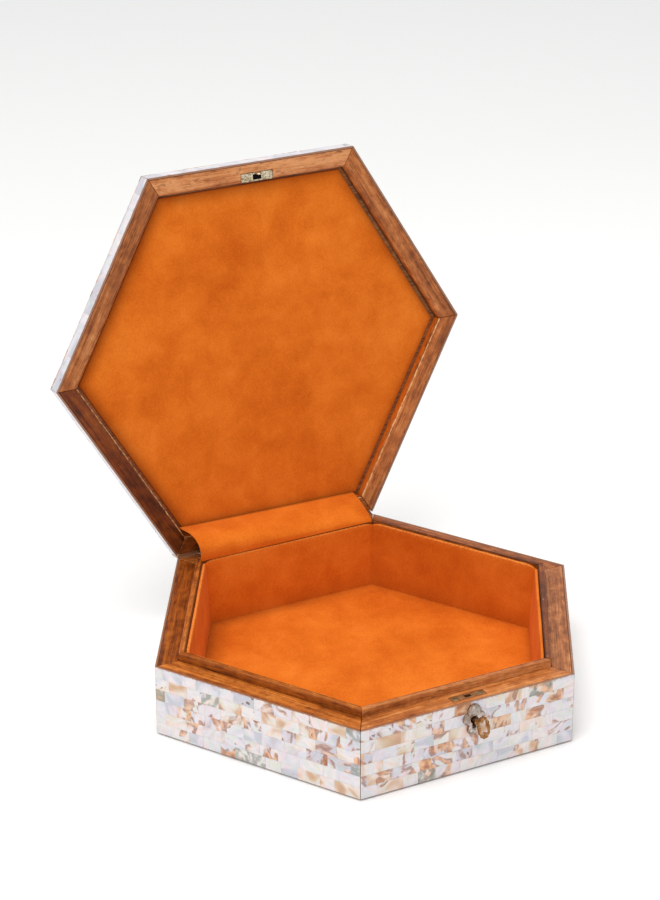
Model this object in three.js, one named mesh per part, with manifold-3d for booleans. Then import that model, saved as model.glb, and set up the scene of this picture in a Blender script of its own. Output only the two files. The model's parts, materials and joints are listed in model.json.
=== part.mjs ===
// A hexagonal wooden box with a hinged lid, tiled outside with mother-of-pearl and lined with suede.
// Millimetres, +Z up. The origin is the centre of the underside, and the lock faces -Y.
// The lid stands open on its hinges, leaning a little back.

import * as THREE from 'three';
import { mergeVertices } from 'three/addons/utils/BufferGeometryUtils.js';
import Module from 'manifold-3d';

const wasm = await Module();
wasm.setup();

// Box carcass
const sideLength = 140;
const wallHeight = 45;
const shellThickness = 1.3;
const wallThickness = 11.4;
const baseThickness = 4;
const baseEdgeShowing = 1.1;
const lipThickness = 3.6;
const lipRise = 4.9;

// Suede lining
const linerThickness = 1.9;
const linerBelowLip = 1;
const floorPadThickness = 2.2;
const padMargin = 0.5;
const lidPadThickness = 1;
const lidPadMargin = 2.2;
const flapThickness = 1;
const flapRises = [
  { share: 0.52, rise: 4.3 },
  { share: 0.76, rise: 4.2 },
  { share: 0.94, rise: 2.6 },
];
const flapSteps = 20;

// Lid
const lidRimDepth = 6.3;
const lidBoardThickness = 2;
const lipClearance = 1;
const closingGap = 0.4;
const openAngle = THREE.MathUtils.degToRad(96.4);

// Joints between pieces
const glueGap = 0.25;
const mitreGap = 0.3;
const freeGap = 0.3;
const cutterOverrun = 1;

// Hinges
const hingeOutset = 0.6;
const hingeSpacing = 84;
const hingeLength = 25;
const leafWidth = 9;
const leafThickness = 1;
const leafSink = 0.05;
const knuckleRadius = 1.9;
const pinRadius = 0.9;
const boxKnuckleLength = 8;

// Lock, key and catch
const lockOffset = 2.6;
const lockInset = 7;
const lockPlateLength = 22;
const lockPlateWidth = 5.2;
const plateThickness = 1;
const lockCaseLength = 16;
const lockCaseWidth = 4.4;
const lockCaseDepth = 20;
const keyholeDrop = 11.5;
const keyholeRadius = 1.7;
const keySlotWidth = 1.8;
const keySlotDrop = 5.4;
const stapleWidth = 3.4;
const stapleThickness = 1.8;
const stapleReach = 5.2;
const stapleEyeRadius = 0.8;
const stapleClearance = 0.45;
const catchLength = 21.5;
const catchWidth = 6.6;
const catchMargin = 1;
const escutcheonThickness = 1;
const escutcheonLobes = [
  { across: 0, up: 5.6, radius: 4.3 },
  { across: 0, up: -5.6, radius: 4.3 },
  { across: 3.5, up: 0.9, radius: 3.7 },
  { across: -3.5, up: 0.9, radius: 3.7 },
  { across: 0, up: 0, radius: 5.2 },
];
const keyShankRadius = 1.1;
const keyReach = 8;
const keyBowOut = 11.2;
const keyBowThickness = 1.6;
const keyLobeRadius = 3.2;
const keyLobeSpread = 3.3;
const keyLobeHole = 1.6;
const keyHubHole = 1.2;
const keyCollarRadius = 1.6;
const keyCollarLength = 1.2;
const keyBitLength = 2.6;
const keyBitDrop = 3.4;
const keyBitThickness = 1.1;
const roundSegments = 24;

// Distances from the centre to the six faces
const cos30 = Math.cos(Math.PI / 6);
const tan30 = Math.tan(Math.PI / 6);
const outerFace = sideLength * cos30;
const wallFace = outerFace - shellThickness - glueGap;
const lipFace = wallFace - wallThickness - glueGap;
const linerFace = lipFace - lipThickness - glueGap;
const roomFace = linerFace - linerThickness;
const lidRimInner = lipFace + lipClearance;
const lidPadFace = lidRimInner - lidPadMargin;

// Heights
const lipTop = wallHeight + lipRise;
const linerTop = lipTop - linerBelowLip;
const floorTop = baseThickness + glueGap + floorPadThickness;
const lidBottom = wallHeight + closingGap;
const lidBoardBottom = lidBottom + lidRimDepth + glueGap;
const lidBoardTop = lidBoardBottom + lidBoardThickness;
const lidPadTop = lidBoardBottom - glueGap;
const hingeY = outerFace + hingeOutset;
const hingeZ = wallHeight + closingGap / 2;
const keyHeight = wallHeight - keyholeDrop;

const sideNames = ['front', 'front_right', 'back_right', 'back', 'back_left', 'front_left'];

const finishes = {
  wood: { color: 0x9a5a2c, roughness: 0.55, metalness: 0 },
  shell: { color: 0xe6e1e4, roughness: 0.22, metalness: 0 },
  suede: { color: 0xd8641e, roughness: 0.95, metalness: 0 },
  steel: { color: 0x9b978f, roughness: 0.4, metalness: 1 },
  brass: { color: 0xa8824a, roughness: 0.4, metalness: 1 },
};

const shellBox = new THREE.Group();

function addPiece(parent, name, geometry, finish) {
  const piece = new THREE.Mesh(geometry, new THREE.MeshStandardMaterial(finishes[finish]));
  piece.name = name;
  parent.add(piece);
  return piece;
}

// A closed mesh becomes a solid that can be joined and cut.
function toSolid(geometry) {
  const bare = geometry.clone();
  bare.deleteAttribute('normal');
  bare.deleteAttribute('uv');
  const merged = mergeVertices(bare, 1e-4);
  return new wasm.Manifold(new wasm.Mesh({
    numProp: 3,
    vertProperties: new Float32Array(merged.attributes.position.array),
    triVerts: new Uint32Array(merged.index.array),
  }));
}

function toGeometry(solid) {
  const mesh = solid.getMesh();
  const geometry = new THREE.BufferGeometry();
  geometry.setAttribute('position', new THREE.BufferAttribute(mesh.vertProperties, 3));
  geometry.setIndex(new THREE.BufferAttribute(mesh.triVerts, 1));
  geometry.computeVertexNormals();
  return geometry;
}

const joinAll = (solids) => solids.reduce((whole, piece) => whole.add(piece));
const cutAll = (solid, cutters) => cutters.reduce((rest, cutter) => rest.subtract(cutter), solid);

// A block between two corners.
function block(low, high) {
  const geometry = new THREE.BoxGeometry(high[0] - low[0], high[1] - low[1], high[2] - low[2]);
  geometry.translate((low[0] + high[0]) / 2, (low[1] + high[1]) / 2, (low[2] + high[2]) / 2);
  return toSolid(geometry);
}

// A rod of the given radius from one point to another, along X, Y or Z.
function rod(radius, from, to) {
  const start = new THREE.Vector3(...from);
  const along = new THREE.Vector3(...to).sub(start);
  const geometry = new THREE.CylinderGeometry(radius, radius, along.length(), roundSegments);
  const upright = new THREE.Vector3(0, 1, 0);
  const turn = new THREE.Quaternion().setFromUnitVectors(upright, along.clone().normalize());
  geometry.applyQuaternion(turn);
  geometry.translate(...start.addScaledVector(along, 0.5).toArray());
  return toSolid(geometry);
}

function prism(points, bottom, top) {
  const outline = new THREE.Shape(points);
  const geometry = new THREE.ExtrudeGeometry(outline, { depth: top - bottom, bevelEnabled: false });
  geometry.translate(0, 0, bottom);
  return geometry;
}

// A hexagonal board whose faces lie at the given distance from the centre.
function hexagonBoard(face, bottom, top) {
  const points = sideNames.map((name, k) => {
    const angle = k * Math.PI / 3;
    return new THREE.Vector2(Math.cos(angle) * face / cos30, Math.sin(angle) * face / cos30);
  });
  return prism(points, bottom, top);
}

// A board along the front side with mitred ends; the other five are this one turned about Z.
function mitredBoard(face, thickness, bottom, top) {
  const trim = mitreGap / 2 / cos30;
  const outerHalf = face * tan30 - trim;
  const innerHalf = (face - thickness) * tan30 - trim;
  return prism([
    new THREE.Vector2(-outerHalf, -face),
    new THREE.Vector2(outerHalf, -face),
    new THREE.Vector2(innerHalf, thickness - face),
    new THREE.Vector2(-innerHalf, thickness - face),
  ], bottom, top);
}

// Keyhole: a round hole with a slot below it, from the outer face inwards.
function keyholeCutter(depth) {
  const near = -outerFace - escutcheonThickness - cutterOverrun;
  const far = -outerFace + depth;
  const slot = block(
    [lockOffset - keySlotWidth / 2, near, keyHeight - keySlotDrop],
    [lockOffset + keySlotWidth / 2, far, keyHeight],
  );
  return rod(keyholeRadius, [lockOffset, near, keyHeight], [lockOffset, far, keyHeight]).add(slot);
}

// Room for one hinge's barrel and one of its leaves, on the back side.
function hingeCutter(side, leafLow, leafHigh) {
  const middle = side * hingeSpacing / 2;
  const half = hingeLength / 2 + freeGap;
  const barrelRadius = knuckleRadius + freeGap;
  const barrel = rod(barrelRadius, [middle - half, hingeY, hingeZ], [middle + half, hingeY, hingeZ]);
  const seat = block(
    [middle - half, hingeY - barrelRadius - leafWidth - freeGap, leafLow],
    [middle + half, hingeY, leafHigh],
  );
  return barrel.add(seat);
}

// Seen from the back side's own frame, the hinge line lies in front.
function turnToBack(solid) {
  return solid.rotate([0, 0, 180]);
}

const lockMiddle = -outerFace + lockInset;
const lockFront = lockMiddle - lockCaseWidth / 2;

const lockCutters = [
  block(
    [lockOffset - lockPlateLength / 2 - freeGap, lockMiddle - lockPlateWidth / 2 - freeGap,
      wallHeight - leafSink - plateThickness - freeGap],
    [lockOffset + lockPlateLength / 2 + freeGap, lockMiddle + lockPlateWidth / 2 + freeGap,
      wallHeight + cutterOverrun],
  ),
  block(
    [lockOffset - lockCaseLength / 2 - freeGap, lockFront - freeGap, wallHeight - lockCaseDepth - freeGap],
    [lockOffset + lockCaseLength / 2 + freeGap, lockFront + lockCaseWidth + freeGap,
      wallHeight + cutterOverrun],
  ),
];
const keyway = keyholeCutter(lockInset + lockCaseWidth / 2 - plateThickness);

const hingeSides = { left: -1, right: 1 };
const hingeCutters = (leafLow, leafHigh) => Object.values(hingeSides).map((side) =>
  turnToBack(hingeCutter(side, leafLow, leafHigh)));
const leafSeat = leafSink + leafThickness + freeGap;
const boxHingeCutters = hingeCutters(wallHeight - leafSeat, wallHeight + cutterOverrun);
const lidHingeCutters = hingeCutters(lidBottom - cutterOverrun, lidBottom + leafSeat);

function cutBoard(geometry, cutters) {
  return toGeometry(cutAll(toSolid(geometry), cutters));
}

// Box body
const boxBody = new THREE.Group();
shellBox.add(boxBody);
addPiece(boxBody, 'base_board', hexagonBoard(wallFace, 0, baseThickness), 'wood');
const floorPad = hexagonBoard(roomFace - padMargin, baseThickness + glueGap, floorTop);
addPiece(boxBody, 'floor_pad', floorPad, 'suede');

sideNames.forEach((name, k) => {
  const side = new THREE.Group();
  side.rotation.z = k * Math.PI / 3;
  boxBody.add(side);
  const boardBottom = baseThickness + glueGap;
  let wall = mitredBoard(wallFace, wallThickness, boardBottom, wallHeight);
  let shell = mitredBoard(outerFace, shellThickness, baseEdgeShowing, wallHeight);
  if (name === 'front') {
    wall = cutBoard(wall, [...lockCutters, keyway]);
    shell = cutBoard(shell, [keyway]);
  }
  if (name === 'back') {
    wall = cutBoard(wall, boxHingeCutters);
    shell = cutBoard(shell, boxHingeCutters);
  }
  addPiece(side, `wall_${name}`, wall, 'wood');
  addPiece(side, `shell_${name}`, shell, 'shell');
  addPiece(side, `lip_${name}`, mitredBoard(lipFace, lipThickness, boardBottom, lipTop), 'wood');
  addPiece(side, `liner_${name}`, mitredBoard(linerFace, linerThickness, boardBottom, linerTop), 'suede');
});

// Lock: top plate and case in one, with a slot for the staple and a keyhole
const stapleSlot = block(
  [lockOffset - stapleWidth / 2 - stapleClearance, lockMiddle - stapleThickness / 2 - stapleClearance,
    wallHeight - stapleReach - stapleClearance],
  [lockOffset + stapleWidth / 2 + stapleClearance, lockMiddle + stapleThickness / 2 + stapleClearance,
    wallHeight + cutterOverrun],
);
const lockPlate = block(
  [lockOffset - lockPlateLength / 2, lockMiddle - lockPlateWidth / 2, wallHeight - leafSink - plateThickness],
  [lockOffset + lockPlateLength / 2, lockMiddle + lockPlateWidth / 2, wallHeight - leafSink],
);
const lockCase = block(
  [lockOffset - lockCaseLength / 2, lockFront, wallHeight - lockCaseDepth],
  [lockOffset + lockCaseLength / 2, lockFront + lockCaseWidth, wallHeight - leafSink],
);
addPiece(boxBody, 'lock', toGeometry(cutAll(lockPlate.add(lockCase), [stapleSlot, keyway])), 'steel');

const escutcheonBack = -outerFace - glueGap;
const escutcheonPlate = joinAll(escutcheonLobes.map((lobe) => rod(
  lobe.radius,
  [lockOffset + lobe.across, escutcheonBack - escutcheonThickness, keyHeight + lobe.up],
  [lockOffset + lobe.across, escutcheonBack, keyHeight + lobe.up],
)));
addPiece(boxBody, 'escutcheon', toGeometry(escutcheonPlate.subtract(keyway)), 'steel');

// Key: pierced bow of four lobes, collar, shank and bit
function makeKey() {
  const bowY = -outerFace - keyBowOut;
  const disc = (radius, across, up, thickness) => rod(
    radius,
    [lockOffset - thickness / 2, bowY + across, keyHeight + up],
    [lockOffset + thickness / 2, bowY + across, keyHeight + up],
  );
  const lobeAngles = [0, 1, 2, 3].map((k) => k * Math.PI / 2);
  const lobeDiscs = (radius, thickness) => lobeAngles.map((angle) =>
    disc(radius, Math.cos(angle) * keyLobeSpread, Math.sin(angle) * keyLobeSpread, thickness));
  const bow = joinAll(lobeDiscs(keyLobeRadius, keyBowThickness));
  const holeDepth = keyBowThickness + cutterOverrun;
  const holes = [...lobeDiscs(keyLobeHole, holeDepth), disc(keyHubHole, 0, 0, holeDepth)];
  const bowEdge = bowY + keyLobeSpread + (keyLobeRadius + keyLobeHole) / 2;
  const tip = -outerFace + keyReach;
  const shank = rod(keyShankRadius, [lockOffset, bowEdge, keyHeight], [lockOffset, tip, keyHeight]);
  const collarStart = bowY + keyLobeSpread + keyLobeRadius + keyCollarLength / 2;
  const collar = rod(
    keyCollarRadius,
    [lockOffset, collarStart, keyHeight],
    [lockOffset, collarStart + keyCollarLength, keyHeight],
  );
  const bit = block(
    [lockOffset - keyBitThickness / 2, tip - keyBitLength, keyHeight - keyShankRadius - keyBitDrop],
    [lockOffset + keyBitThickness / 2, tip, keyHeight],
  );
  return joinAll([cutAll(bow, holes), shank, collar, bit]);
}
addPiece(boxBody, 'key', toGeometry(makeKey()), 'brass');

// Hinges: the leaf is flush in its board and carries knuckles round the pin
const halfHinge = hingeLength / 2;
const boxKnuckles = [[-halfHinge, boxKnuckleLength - halfHinge], [halfHinge - boxKnuckleLength, halfHinge]];
const lidKnuckles = [[boxKnuckleLength - halfHinge + freeGap, halfHinge - boxKnuckleLength - freeGap]];

function hingeLeaf(side, leafLow, knuckles) {
  const middle = side * hingeSpacing / 2;
  const clearOfBarrel = hingeY - knuckleRadius - freeGap;
  const plate = block(
    [middle - halfHinge, clearOfBarrel - leafWidth, leafLow],
    [middle + halfHinge, clearOfBarrel, leafLow + leafThickness],
  );
  const tongues = knuckles.map(([from, to]) => block(
    [middle + from, clearOfBarrel - leafThickness, leafLow],
    [middle + to, hingeY - pinRadius, leafLow + leafThickness],
  ));
  const rings = knuckles.map(([from, to]) =>
    rod(knuckleRadius, [middle + from, hingeY, hingeZ], [middle + to, hingeY, hingeZ]));
  const bore = rod(
    pinRadius + freeGap,
    [middle - halfHinge - cutterOverrun, hingeY, hingeZ],
    [middle + halfHinge + cutterOverrun, hingeY, hingeZ],
  );
  return toGeometry(joinAll([plate, ...tongues, ...rings]).subtract(bore));
}

// Lid, modelled closed and then swung open about the hinge line
const lidSwing = new THREE.Group();
lidSwing.position.set(0, hingeY, hingeZ);
lidSwing.rotation.x = -openAngle;
shellBox.add(lidSwing);
const lidBody = new THREE.Group();
lidBody.position.set(0, -hingeY, -hingeZ);
lidSwing.add(lidBody);

Object.entries(hingeSides).forEach(([name, side]) => {
  const middle = side * hingeSpacing / 2;
  const boxLeafLow = wallHeight - leafSink - leafThickness;
  addPiece(boxBody, `hinge_box_leaf_${name}`, hingeLeaf(side, boxLeafLow, boxKnuckles), 'steel');
  const pin = rod(pinRadius, [middle - halfHinge, hingeY, hingeZ], [middle + halfHinge, hingeY, hingeZ]);
  addPiece(boxBody, `hinge_pin_${name}`, toGeometry(pin), 'steel');
  addPiece(lidBody, `hinge_lid_leaf_${name}`, hingeLeaf(side, lidBottom + leafSink, lidKnuckles), 'steel');
});

addPiece(lidBody, 'lid_board', hexagonBoard(wallFace, lidBoardBottom, lidBoardTop), 'wood');
const lidTop = lidBoardTop + glueGap + shellThickness;
addPiece(lidBody, 'lid_shell_top', hexagonBoard(outerFace, lidTop - shellThickness, lidTop), 'shell');
addPiece(lidBody, 'lid_pad', hexagonBoard(lidPadFace, lidPadTop - lidPadThickness, lidPadTop), 'suede');

// Catch: a plate let into the lid's front rim, with a staple that drops into the lock
const catchLow = lidBottom + leafSink;
const catchFront = lockMiddle - stapleThickness / 2 - catchMargin;
const catchPlate = block(
  [lockOffset - catchLength / 2, catchFront, catchLow],
  [lockOffset + catchLength / 2, catchFront + catchWidth, catchLow + plateThickness],
);
const catchSeat = block(
  [lockOffset - catchLength / 2 - freeGap, catchFront - freeGap, lidBottom - cutterOverrun],
  [lockOffset + catchLength / 2 + freeGap, catchFront + catchWidth * 2, catchLow + plateThickness + freeGap],
);
function makeStaple() {
  const bottom = lidBottom - stapleReach + stapleWidth / 2;
  const front = lockMiddle - stapleThickness / 2;
  const back = lockMiddle + stapleThickness / 2;
  const shank = block(
    [lockOffset - stapleWidth / 2, front, bottom],
    [lockOffset + stapleWidth / 2, back, catchLow + plateThickness / 2],
  );
  const end = rod(stapleWidth / 2, [lockOffset, front, bottom], [lockOffset, back, bottom]);
  const eye = rod(
    stapleEyeRadius,
    [lockOffset, front - cutterOverrun, bottom],
    [lockOffset, back + cutterOverrun, bottom],
  );
  return shank.add(end).subtract(eye);
}
addPiece(lidBody, 'catch', toGeometry(catchPlate.add(makeStaple())), 'brass');

sideNames.forEach((name, k) => {
  const side = new THREE.Group();
  side.rotation.z = k * Math.PI / 3;
  lidBody.add(side);
  let rim = mitredBoard(wallFace, wallFace - lidRimInner, lidBottom, lidBottom + lidRimDepth);
  let shell = mitredBoard(outerFace, shellThickness, lidBottom, lidBoardTop);
  if (name === 'front') {
    rim = cutBoard(rim, [catchSeat]);
  }
  if (name === 'back') {
    rim = cutBoard(rim, lidHingeCutters);
    shell = cutBoard(shell, lidHingeCutters);
  }
  addPiece(side, `lid_rim_${name}`, rim, 'wood');
  addPiece(side, `lid_shell_${name}`, shell, 'shell');
});

// Hinge flap: a strip of suede from the lid's recess, over the hinges, to the top of the back lip.
// The lid's points are swung open with it, so the strip follows the open angle.
function lidPoint(y, z) {
  const point = new THREE.Vector2(y - hingeY, z - hingeZ);
  return point.rotateAround(new THREE.Vector2(), -openAngle).add(new THREE.Vector2(hingeY, hingeZ));
}

function flapCentreLine() {
  const channel = lidRimInner - lidPadMargin / 2;
  const glued = lidPoint(channel, lidPadTop - flapThickness);
  const onLip = new THREE.Vector2(lipFace - lipThickness + flapThickness / 2, lipTop + freeGap);
  const reach = onLip.clone().sub(glued);
  const bulge = flapRises.map(({ share, rise }) =>
    glued.clone().addScaledVector(reach, share).add(new THREE.Vector2(0, rise)));
  const end = onLip.clone().add(new THREE.Vector2(0, flapThickness / 2));
  return new THREE.SplineCurve([glued, lidPoint(channel, lidBottom), ...bulge, end]);
}

function hingeFlap() {
  const centreLine = flapCentreLine();
  const outer = [];
  const inner = [];
  for (let i = 0; i <= flapSteps; i += 1) {
    const point = centreLine.getPoint(i / flapSteps);
    const along = centreLine.getTangent(i / flapSteps);
    const across = new THREE.Vector2(-along.y, along.x).multiplyScalar(flapThickness / 2);
    outer.push(point.clone().add(across));
    inner.unshift(point.clone().sub(across));
  }
  const flapHalf = roomFace * tan30;
  const geometry = prism([...outer, ...inner], -flapHalf, flapHalf);
  geometry.rotateY(Math.PI / 2);
  geometry.rotateX(Math.PI / 2);
  return geometry;
}
addPiece(boxBody, 'hinge_flap', hingeFlap(), 'suede');

export default shellBox;
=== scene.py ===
# Hexagonal shell box: the looks of every piece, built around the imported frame.
# The row frame is in metres, +Z up, with the lock towards -Y. Pieces are worked out in millimetres
# as they lie on the front side with the lid shut, then turned to their side and swung open.

import json
import math
import random
from collections import namedtuple

import bmesh
import bpy
from mathutils import Matrix, Vector, noise

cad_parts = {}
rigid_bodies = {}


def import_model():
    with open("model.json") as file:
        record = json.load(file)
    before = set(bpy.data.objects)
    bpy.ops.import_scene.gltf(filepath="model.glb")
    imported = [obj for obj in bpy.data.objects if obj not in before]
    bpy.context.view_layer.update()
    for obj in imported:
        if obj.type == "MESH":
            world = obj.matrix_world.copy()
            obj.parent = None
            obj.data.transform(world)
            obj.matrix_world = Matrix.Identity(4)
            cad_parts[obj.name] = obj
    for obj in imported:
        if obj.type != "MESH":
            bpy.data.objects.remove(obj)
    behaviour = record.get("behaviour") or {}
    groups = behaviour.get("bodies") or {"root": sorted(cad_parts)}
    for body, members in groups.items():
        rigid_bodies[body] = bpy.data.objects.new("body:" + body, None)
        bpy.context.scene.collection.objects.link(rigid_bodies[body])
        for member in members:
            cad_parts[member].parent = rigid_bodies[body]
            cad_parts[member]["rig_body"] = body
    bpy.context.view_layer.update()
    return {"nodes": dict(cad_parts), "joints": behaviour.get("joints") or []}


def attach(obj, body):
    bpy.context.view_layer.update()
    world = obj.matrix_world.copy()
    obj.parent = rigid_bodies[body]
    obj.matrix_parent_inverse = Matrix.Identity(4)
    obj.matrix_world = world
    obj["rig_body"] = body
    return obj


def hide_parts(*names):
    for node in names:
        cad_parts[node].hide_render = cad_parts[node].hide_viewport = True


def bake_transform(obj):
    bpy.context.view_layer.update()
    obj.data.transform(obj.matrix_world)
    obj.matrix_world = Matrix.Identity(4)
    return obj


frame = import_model()

MM = 0.001
TAN30 = math.tan(math.radians(30))
SIDE_NAMES = ("front", "front_right", "back_right", "back", "back_left", "front_left")

LID_JOINT = frame["joints"][0]
HINGE_POINT = Vector(LID_JOINT["pos_m"])
OPEN_ANGLE = math.radians(LID_JOINT["range_deg"][1])
SWING = (Matrix.Translation(HINGE_POINT) @ Matrix.Rotation(-OPEN_ANGLE, 4, "X")
         @ Matrix.Translation(-HINGE_POINT))
HINGE_Y, HINGE_Z = HINGE_POINT.y / MM, HINGE_POINT.z / MM

FAR = 99
Span = namedtuple("Span", "outer inner low high half")


# Places read from the frame

def shut_points(node):
    """A node's corners in millimetres, with the lid shut."""
    shown = frame["nodes"][node]
    back = SWING.inverted() if shown["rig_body"] == "lid" else Matrix.Identity(4)
    return [back @ vertex.co / MM for vertex in shown.data.vertices]


def extent(points):
    """Lowest and highest corner of the box round some points."""
    low = Vector([min(point[axis] for point in points) for axis in range(3)])
    high = Vector([max(point[axis] for point in points) for axis in range(3)])
    return low, high


def shut_box(node):
    """The box round a node in millimetres, with the lid shut."""
    return extent(shut_points(node))


def front_span(node):
    """How far out, how far in, how low and how high a front node lies, and half its length."""
    low, high = shut_box(node)
    return Span(-low.y, -high.y, low.z, high.z, high.x)


def board_trim(span):
    """What a mitred end keeps free of the corner."""
    return span.outer * TAN30 - span.half


def side_matrix(side, body):
    """From millimetres on the front side to the row frame."""
    placed = Matrix.Rotation(math.radians(60 * side), 4, "Z") @ Matrix.Scale(MM, 4)
    return SWING @ placed if body == "lid" else placed


# Camera, stage and light

CAMERA_AZIMUTH = math.radians(-27.67)
CAMERA_ELEVATION = math.radians(24.07)
CAMERA_ROLL = math.radians(-0.14)
CAMERA_DISTANCE = 1.7163
CAMERA_TARGET = Vector((0.0695, 0.1804, 0.0672))
CAMERA_LENS = 102.98


def make_camera():
    """The photograph's camera, solved from the two hexagons."""
    azimuth, elevation, roll = CAMERA_AZIMUTH, CAMERA_ELEVATION, CAMERA_ROLL
    back = Vector((
        math.sin(azimuth) * math.cos(elevation),
        -math.cos(azimuth) * math.cos(elevation),
        math.sin(elevation),
    ))
    right = Vector((math.cos(azimuth), math.sin(azimuth), 0))
    up = back.cross(right)
    rolled_right = right * math.cos(roll) + up * math.sin(roll)
    rolled_up = up * math.cos(roll) - right * math.sin(roll)
    data = bpy.data.cameras.new("photo_camera")
    data.sensor_width = 36
    data.lens = CAMERA_LENS
    data.clip_end = 50
    camera = bpy.data.objects.new("photo_camera", data)
    turn = Matrix((rolled_right, rolled_up, back)).transposed().to_4x4()
    camera.matrix_world = Matrix.Translation(CAMERA_TARGET + back * CAMERA_DISTANCE) @ turn
    bpy.context.scene.collection.objects.link(camera)
    bpy.context.scene.camera = camera


FLOOR_HALF = 12.0


def make_stage():
    """A plain pale floor."""
    corners = [(-FLOOR_HALF, -FLOOR_HALF, 0), (FLOOR_HALF, -FLOOR_HALF, 0),
               (FLOOR_HALF, FLOOR_HALF, 0), (-FLOOR_HALF, FLOOR_HALF, 0)]
    mesh = bpy.data.meshes.new("floor")
    mesh.from_pydata(corners, [], [(0, 1, 2, 3)])
    floor = bpy.data.objects.new("floor", mesh)
    bpy.context.scene.collection.objects.link(floor)
    mesh.materials.append(paper_finish())


def add_softbox(name, place, aim, size, power, colour):
    """A square soft light at a place, turned towards a point."""
    data = bpy.data.lights.new(name, "AREA")
    data.size = size
    data.energy = power
    data.color = colour
    light = bpy.data.objects.new(name, data)
    light.location = place
    light.rotation_mode = "QUATERNION"
    light.rotation_quaternion = (Vector(aim) - Vector(place)).to_track_quat("-Z", "Y")
    bpy.context.scene.collection.objects.link(light)


def make_light():
    """Plain soft studio light: a bright room, a large key from the left and a weaker one above."""
    world = bpy.data.worlds.new("studio")
    bpy.context.scene.world = world
    world.use_nodes = True
    background = world.node_tree.nodes["Background"]
    background.inputs["Color"].default_value = (1.0, 1.0, 1.0, 1)
    background.inputs["Strength"].default_value = 0.79
    box_centre = (0, 0, 0.1)
    add_softbox("key_light", (-1.2, -0.7, 1.7), box_centre, 1.5, 12, (1.0, 0.99, 0.97))
    add_softbox("top_light", (-0.2, 0.0, 2.1), box_centre, 1.2, 18, (1.0, 0.99, 0.97))
    bpy.context.scene.view_settings.view_transform = "Standard"


# Shader maths

class Field:
    """A value or vector inside a finish. Arithmetic on values adds Math nodes."""

    def __init__(self, finish, socket):
        self.finish = finish
        self.socket = socket

    def apply(self, operation, *others):
        return self.finish.node("ShaderNodeMath", dict(enumerate((self, *others))), operation=operation)

    def other(self, output):
        """Another output of the same node."""
        return Field(self.finish, self.socket.node.outputs[output])

    def __add__(self, other):
        return self.apply("ADD", other)

    __radd__ = __add__

    def __mul__(self, other):
        return self.apply("MULTIPLY", other)

    __rmul__ = __mul__

    def __sub__(self, other):
        return self.apply("SUBTRACT", other)

    def __rsub__(self, other):
        return self.finish.node("ShaderNodeMath", {0: other, 1: self}, operation="SUBTRACT")


class Finish:
    """A node material with one Principled shader."""

    def __init__(self, name, constants):
        self.material = bpy.data.materials.new(name)
        self.material.use_nodes = True
        self.tree = self.material.node_tree
        self.tree.nodes.clear()
        self.shader = self.tree.nodes.new("ShaderNodeBsdfPrincipled")
        output = self.tree.nodes.new("ShaderNodeOutputMaterial")
        self.tree.links.new(self.shader.outputs[0], output.inputs["Surface"])
        for socket, value in constants.items():
            self.feed(socket, value)

    def feed(self, socket, value):
        """Gives a value or a link to a socket, or to the shader's socket of that name."""
        if isinstance(socket, str):
            socket = self.shader.inputs[socket]
        if isinstance(value, Field):
            self.tree.links.new(value.socket, socket)
        else:
            socket.default_value = value

    def node(self, kind, inputs, output=0, stops=(), **settings):
        """Adds a node: its settings and ramp stops first, then its sockets' values or links."""
        made = self.tree.nodes.new(kind)
        for name, value in settings.items():
            setattr(made, name, value)
        for index, (place, colour) in enumerate(stops):
            ramp = made.color_ramp.elements
            stop = ramp[index] if index < len(ramp) else ramp.new(place)
            stop.position = place
            stop.color = colour
        for key, value in inputs.items():
            self.feed(made.inputs[key], value)
        return Field(self, made.outputs[output])

    def noise(self, point, scale, detail=3.0, roughness=0.5, distortion=0.0):
        sockets = {"Vector": point, "Scale": scale, "Detail": detail, "Roughness": roughness,
                   "Distortion": distortion}
        return self.node("ShaderNodeTexNoise", sockets)

    def mix(self, factor, first, second, blend="MIX"):
        sockets = {0: factor, 6: first, 7: second}
        return self.node("ShaderNodeMix", sockets, output=2, data_type="RGBA", blend_type=blend)

    def ramp(self, value, *stops):
        """A colour ramp. Each stop is its place and its screen colour: (place, red, green, blue)."""
        stops = [(place, colour(*shade)) for place, *shade in stops]
        return self.node("ShaderNodeValToRGB", {0: value}, stops=stops)

    def rise(self, value, start, end):
        """0 before start, 1 after end, smooth between them."""
        sockets = {"Value": value, "From Min": start, "From Max": end}
        return self.node("ShaderNodeMapRange", sockets, interpolation_type="SMOOTHSTEP")

    def fall(self, value, start, end):
        return 1 - self.rise(value, start, end)

    def point(self, x, y, z):
        return self.node("ShaderNodeCombineXYZ", {0: x, 1: y, 2: z})

    def split(self, vector):
        first = self.node("ShaderNodeSeparateXYZ", {0: vector})
        return first, first.other(1), first.other(2)

    def attribute(self, name):
        """The three numbers that a piece carries at each vertex under that name."""
        return self.node("ShaderNodeAttribute", {}, output="Vector", attribute_name=name)

    def place_in_mm(self):
        """The piece's own coordinates in millimetres."""
        place = self.node("ShaderNodeTexCoord", {}, output="Object")
        return self.node("ShaderNodeVectorMath", {0: place, "Scale": 1 / MM}, operation="SCALE")

    def bump(self, height, strength, depth_mm):
        sockets = {"Height": height, "Strength": strength, "Distance": depth_mm * MM}
        self.feed("Normal", self.node("ShaderNodeBump", sockets))


def colour(red, green, blue):
    """A screen colour as the linear one that shaders use."""
    def linear(channel):
        share = channel / 255
        return share / 12.92 if share <= 0.04045 else ((share + 0.055) / 1.055) ** 2.4
    return (linear(red), linear(green), linear(blue), 1)


# Finishes

TAN_GATE = 13.7


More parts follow.
